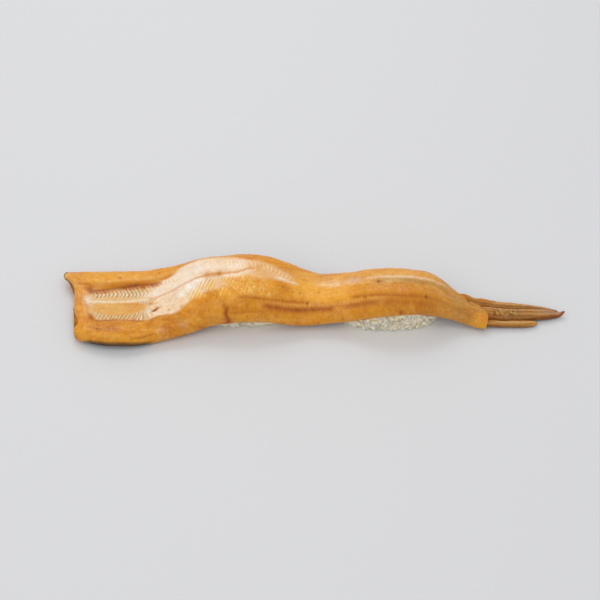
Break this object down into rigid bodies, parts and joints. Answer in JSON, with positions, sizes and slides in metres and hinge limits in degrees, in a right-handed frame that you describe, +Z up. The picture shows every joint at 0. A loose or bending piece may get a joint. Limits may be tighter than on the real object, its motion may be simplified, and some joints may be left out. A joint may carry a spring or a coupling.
{
  "type": "conger eel nigiri",
  "caption": "Whole simmered conger eel fillet, cut side up with its tail fins, draped over pressed balls of white rice in waves. One serving of sushi without its dish.",
  "frame": {"origin": "on the plate's surface, at the middle of the footprint", "axes": "+X along the fillet from its square cut end to the tip of the tail, +Y towards the back edge, which lies higher on the rice, +Z up"},
  "size_m": [0.2674, 0.0501, 0.0254],
  "materials": {
    "eel_flesh": "glazed",
    "rice": "moist"
  },
  "bodies": {
    "root": {"eel": "eel_flesh", "rice_left": "rice", "rice_right": "rice"}
  },
  "joints": []
}
